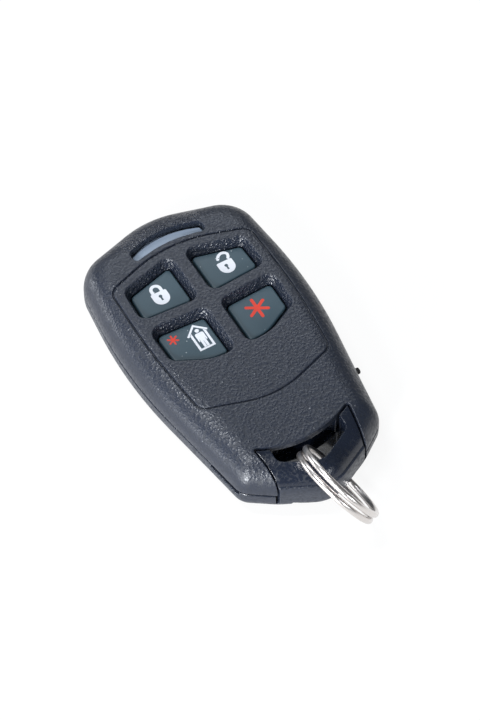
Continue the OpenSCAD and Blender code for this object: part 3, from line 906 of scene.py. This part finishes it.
def dusted(tree, color, dust_color, share, scale, strength):
    """A colour with specks of dust on it."""
    specks = use(tree, dust, Scale=scale, Share=share)["Specks"]
    return two_colors(tree, math_node(tree, "MULTIPLY", specks, strength), color, dust_color)


def clouded(name, first, second, rough, scale, strength, distance):
    """A material with slow changes of colour, roughness and height; rough holds the two ends."""
    made, tree, inputs = surface(name)
    cloud = use(tree, mottle, Scale=scale)["Value"]
    tree.links.new(two_colors(tree, cloud, first, second), inputs["Base Color"])
    tree.links.new(remap(tree, cloud, 0, 1, *rough), inputs["Roughness"])
    tree.links.new(bump(tree, cloud, strength, distance), inputs["Normal"])
    return made


def grained_plastic(name, deep, high, depth, rough, side_grain=0.4, scale=1900.0):
    """Plastic from a grained mould; steep sides keep a share of the grain, so that they leave the mould."""
    steep_z, flat_z = 0.55, 0.9
    made, tree, inputs = surface(name)
    pebbles = use(tree, grain, Scale=scale)
    cloud = use(tree, mottle, Scale=90.0)["Value"]
    tops = math_node(tree, "SUBTRACT", 1.0, pebbles["Hollows"])
    share = math_node(tree, "MULTIPLY", tops, remap(tree, cloud, 0, 1, 0.7, 1.0))
    color = two_colors(tree, share, deep, high)
    color = dusted(tree, color, (0.3, 0.31, 0.33), share=0.2, scale=700.0, strength=0.4)
    tree.links.new(color, inputs["Base Color"])
    tree.links.new(remap(tree, pebbles["Hollows"], 0, 1, rough, rough + 0.2), inputs["Roughness"])
    normal = add(tree, "ShaderNodeTexCoord").outputs["Normal"]
    lean = add(tree, "ShaderNodeSeparateXYZ", {"Vector": normal}).outputs["Z"]
    strength = remap(tree, lean, steep_z, flat_z, side_grain, 1.0)
    tree.links.new(bump(tree, pebbles["Height"], strength, depth), inputs["Normal"])
    return made


def soft_silicone(name, first, second):
    """Satin silicone with a faint bloom and a few specks of dust."""
    made, tree, inputs = surface(name)
    cloud = use(tree, mottle, Scale=160.0)["Value"]
    color = two_colors(tree, cloud, first, second)
    color = dusted(tree, color, (0.5, 0.55, 0.58), share=0.6, scale=900.0, strength=0.75)
    tree.links.new(color, inputs["Base Color"])
    tree.links.new(remap(tree, cloud, 0, 1, 0.40, 0.5), inputs["Roughness"])
    fine = add(tree, "ShaderNodeTexNoise", {"Vector": object_place(tree), "Scale": 9000.0}).outputs[0]
    tree.links.new(bump(tree, fine, 0.25, 0.00002), inputs["Normal"])
    return made


def ink(name, first, second):
    """Printed ink, slightly uneven where the print is thin."""
    return clouded(name, first, second, (0.45, 0.6), scale=900.0, strength=0.3, distance=0.00002)


def milky_plastic(name, first, second):
    """Tinted milky plastic of the light window."""
    return clouded(name, first, second, (0.3, 0.42), scale=300.0, strength=0.2, distance=0.00003)


def metal(name, first, second, smooth, marked, scale=300.0, depth=0.05):
    """Plated or rolled metal, duller where it is scratched."""
    made, tree, inputs = surface(name, metallic=1.0)
    marks = use(tree, scratches, Scale=scale)["Marks"]
    cloud = use(tree, mottle, Scale=140.0)["Value"]
    tree.links.new(two_colors(tree, cloud, first, second), inputs["Base Color"])
    tree.links.new(remap(tree, marks, 0, 1, smooth, marked), inputs["Roughness"])
    tree.links.new(bump(tree, marks, depth, 0.00002), inputs["Normal"])
    return made


def matt(name, first, second, rough, scale=500.0):
    """Plain moulded, printed or coated surface with a fine unevenness."""
    return clouded(name, first, second, (rough, rough + 0.12), scale, strength=0.3, distance=0.00002)


# Camera, floor and light

def photo_camera():
    """Camera at the photograph's viewing angle, fitted to the outlines of the case."""
    az, el = math.radians(-30.51), math.radians(55.27)
    look_at, distance = Vector((-2.074, -5.088, 11.8)) * MM, 439.7
    back = Vector((math.sin(az) * math.cos(el), -math.cos(az) * math.cos(el), math.sin(el)))
    data = bpy.data.cameras.new("photo_camera")
    data.lens = 125.0
    data.sensor_width = 36.0
    data.sensor_fit = "AUTO"
    data.clip_start = 0.01
    data.clip_end = 20.0
    camera = bpy.data.objects.new("photo_camera", data)
    camera.location = look_at + back * distance * MM
    camera.rotation_euler = back.to_track_quat("Z", "Y").to_euler()
    bpy.context.scene.collection.objects.link(camera)
    bpy.context.scene.camera = camera


def softbox(name, toward, distance, size, power, tint=(0.94, 0.97, 1.0)):
    """A rectangular lamp in a direction from the fob, turned towards it; metres and watts."""
    data = bpy.data.lights.new(name, "AREA")
    data.shape = "RECTANGLE"
    data.size, data.size_y = size
    data.energy = power
    data.color = tint
    lamp = bpy.data.objects.new(name, data)
    way = Vector(toward).normalized()
    lamp.location = way * distance
    lamp.rotation_euler = way.to_track_quat("Z", "Y").to_euler()
    bpy.context.scene.collection.objects.link(lamp)


def studio():
    """Soft light: the top lamp shines in the face, the others on the sides, the crease and the pockets."""
    world = bpy.data.worlds.new("studio")
    bpy.context.scene.world = world
    world.use_nodes = True
    sky = world.node_tree.nodes["Background"].inputs
    sky["Color"].default_value = (0.9, 0.95, 1.0, 1)
    sky["Strength"].default_value = 0.14
    softbox("left_softbox", (-0.94, -0.20, 0.12), 0.6, (0.6, 0.26), 4.1)
    softbox("far_softbox", (-0.66, 0.72, 0.14), 0.6, (0.25, 0.2), 1.1)
    softbox("crease_softbox", (-0.30, 0.16, 0.94), 0.8, (0.03, 0.28), 3.9)
    softbox("front_softbox", (-0.66, -0.46, 0.58), 0.7, (0.10, 0.10), 2.6)
    softbox("corner_softbox", (-0.76, -0.56, 0.20), 0.7, (0.12, 0.16), 4.2)
    softbox("fore_softbox", (0.15, -0.88, 0.42), 0.7, (0.3, 0.12), 1.2)
    softbox("top_softbox", (0.08, 0.236, 0.224), 0.34, (0.3, 0.11), 0.37, (0.90, 0.95, 1.0))


def white_paper():
    """Matt paper that the camera and mirror images see as white; in mirror images it carries a painted
    shadow, darker close to the fob.
    """
    paper = bpy.data.materials.new("white_paper")
    paper.use_nodes = True
    tree = paper.node_tree
    tree.nodes.clear()
    path = add(tree, "ShaderNodeLightPath").outputs
    # painted shadow: the glow that mirror images see is dimmed by occlusion near the fob
    painted_shadow_openness = add(tree, "ShaderNodeAmbientOcclusion", {"Distance": 0.02}, samples=4).outputs["AO"]
    mirrored = remap(tree, painted_shadow_openness, 0.0, 1.0, 0.25, 1.0)
    mirrored_share = math_node(tree, "MULTIPLY", path["Is Glossy Ray"], mirrored)
    seen = math_node(tree, "MAXIMUM", path["Is Camera Ray"], mirrored_share)
    seen = math_node(tree, "MAXIMUM", seen, path["Is Transmission Ray"])
    glow_share = math_node(tree, "MULTIPLY", seen, 0.9)
    matt_side = add(tree, "ShaderNodeBsdfDiffuse", {"Color": (0.85, 0.85, 0.85, 1)}).outputs[0]
    glow = add(tree, "ShaderNodeEmission", {"Color": (1, 1, 1, 1), "Strength": 1.0}).outputs[0]
    both = add(tree, "ShaderNodeMixShader", {0: glow_share, 1: matt_side, 2: glow}).outputs[0]
    add(tree, "ShaderNodeOutputMaterial", {"Surface": both})
    return paper


def paper_floor():
    half, drop = 3.0, 0.0002
    corners = [(-half, -half, 0), (half, -half, 0), (half, half, 0), (-half, half, 0)]
    mesh = bpy.data.meshes.new("floor")
    mesh.from_pydata(corners, [], [(0, 1, 2, 3)])
    mesh.materials.append(white_paper())
    floor = bpy.data.objects.new("floor", mesh)
    floor.location.z = -drop
    bpy.context.scene.collection.objects.link(floor)


photo_camera()
studio()
paper_floor()
bpy.context.scene.view_settings.view_transform = "Standard"

charcoal = (0.0095, 0.0128, 0.0215), (0.014, 0.018, 0.0295)
# darker colour for the painted shade in the loop's hole and room, on the loop's top and at the seam
painted_shade_charcoal = (0.005, 0.008, 0.016), (0.007, 0.010, 0.019)
case_plastic = grained_plastic("case_plastic", *charcoal, depth=0.000052, rough=0.31)
pocket_plastic = grained_plastic("pocket_plastic", *charcoal, depth=0.00014, rough=0.17, side_grain=1.0)
painted_shade_plastic = grained_plastic("painted_shade_plastic", *painted_shade_charcoal, depth=0.000012, rough=0.2)
silicone = soft_silicone("key_silicone", (0.026, 0.052, 0.070), (0.032, 0.060, 0.079))
inks = {"white": ink("white_ink", (0.60, 0.62, 0.67), (0.66, 0.68, 0.73)),
        "red": ink("red_ink", (0.51, 0.026, 0.009), (0.57, 0.031, 0.011))}
signs = {"lock": lock_signs(), "unlock": unlock_signs(), "stay": stay_signs(), "star": star_signs()}
pipe_plastic = milky_plastic("pipe_plastic", (0.24, 0.30, 0.39), (0.265, 0.325, 0.415))
ring_steel = metal("ring_nickel", (0.67, 0.63, 0.61), (0.73, 0.70, 0.68), 0.28, 0.34, depth=0.002)
cell_steel = metal("cell_steel", (0.62, 0.62, 0.62), (0.70, 0.70, 0.69), 0.24, 0.38, 220.0)
gold_plate = metal("gold_plate", (0.80, 0.58, 0.24), (0.86, 0.65, 0.30), 0.25, 0.35)
copper_track = metal("copper_track", (0.10, 0.34, 0.16), (0.13, 0.38, 0.19), 0.35, 0.45)
# the nib is given a near-black matt colour
near_black_nib = matt("near_black_nib", (0.004, 0.004, 0.005), (0.007, 0.007, 0.008), 0.75)
carbon = matt("carbon_pill", (0.010, 0.010, 0.011), (0.018, 0.018, 0.019), 0.6)
solder_mask = matt("solder_mask", (0.010, 0.085, 0.032), (0.014, 0.105, 0.042), 0.28, 260.0)
chip_plastic = matt("chip_plastic", (0.012, 0.012, 0.013), (0.022, 0.022, 0.024), 0.5)
lamp_resin = matt("lamp_resin", (0.62, 0.66, 0.66), (0.72, 0.76, 0.75), 0.22)

front_case(case_plastic, painted_shade_plastic, pocket_plastic)
rear_case(case_plastic, painted_shade_plastic, near_black_nib)
for key in key_corners:
    key_piece(key, silicone)
    skirt_piece(key, silicone)
    printed(key, signs[key], inks)
    softened(key + "_pill", 0.06, carbon, key + "_button")
light_pipe_piece(pipe_plastic)
ring_piece(ring_steel)
softened("keypad_sheet", 0.1, silicone)
softened("circuit_board", 0.06, solder_mask)
softened("indicator_led", 0.06, lamp_resin)
softened("coin_cell", 0.22, cell_steel, segments=4)
softened("cell_clip", 0.08, cell_steel)
softened("cell_contact", 0.03, gold_plate)
chip = softened("transmitter_chip", 0.08, chip_plastic)
second_finish(chip, cell_steel, on_lead)
softened("crystal_can", 0.25, cell_steel, segments=4)
parts = softened("chip_parts", 0.06, chip_plastic)
second_finish(parts, cell_steel, on_part_end)
for node, material in (("contact_pads", gold_plate), ("antenna_loop", copper_track)):
    nodes[node].data.materials.clear()
    nodes[node].data.materials.append(material)
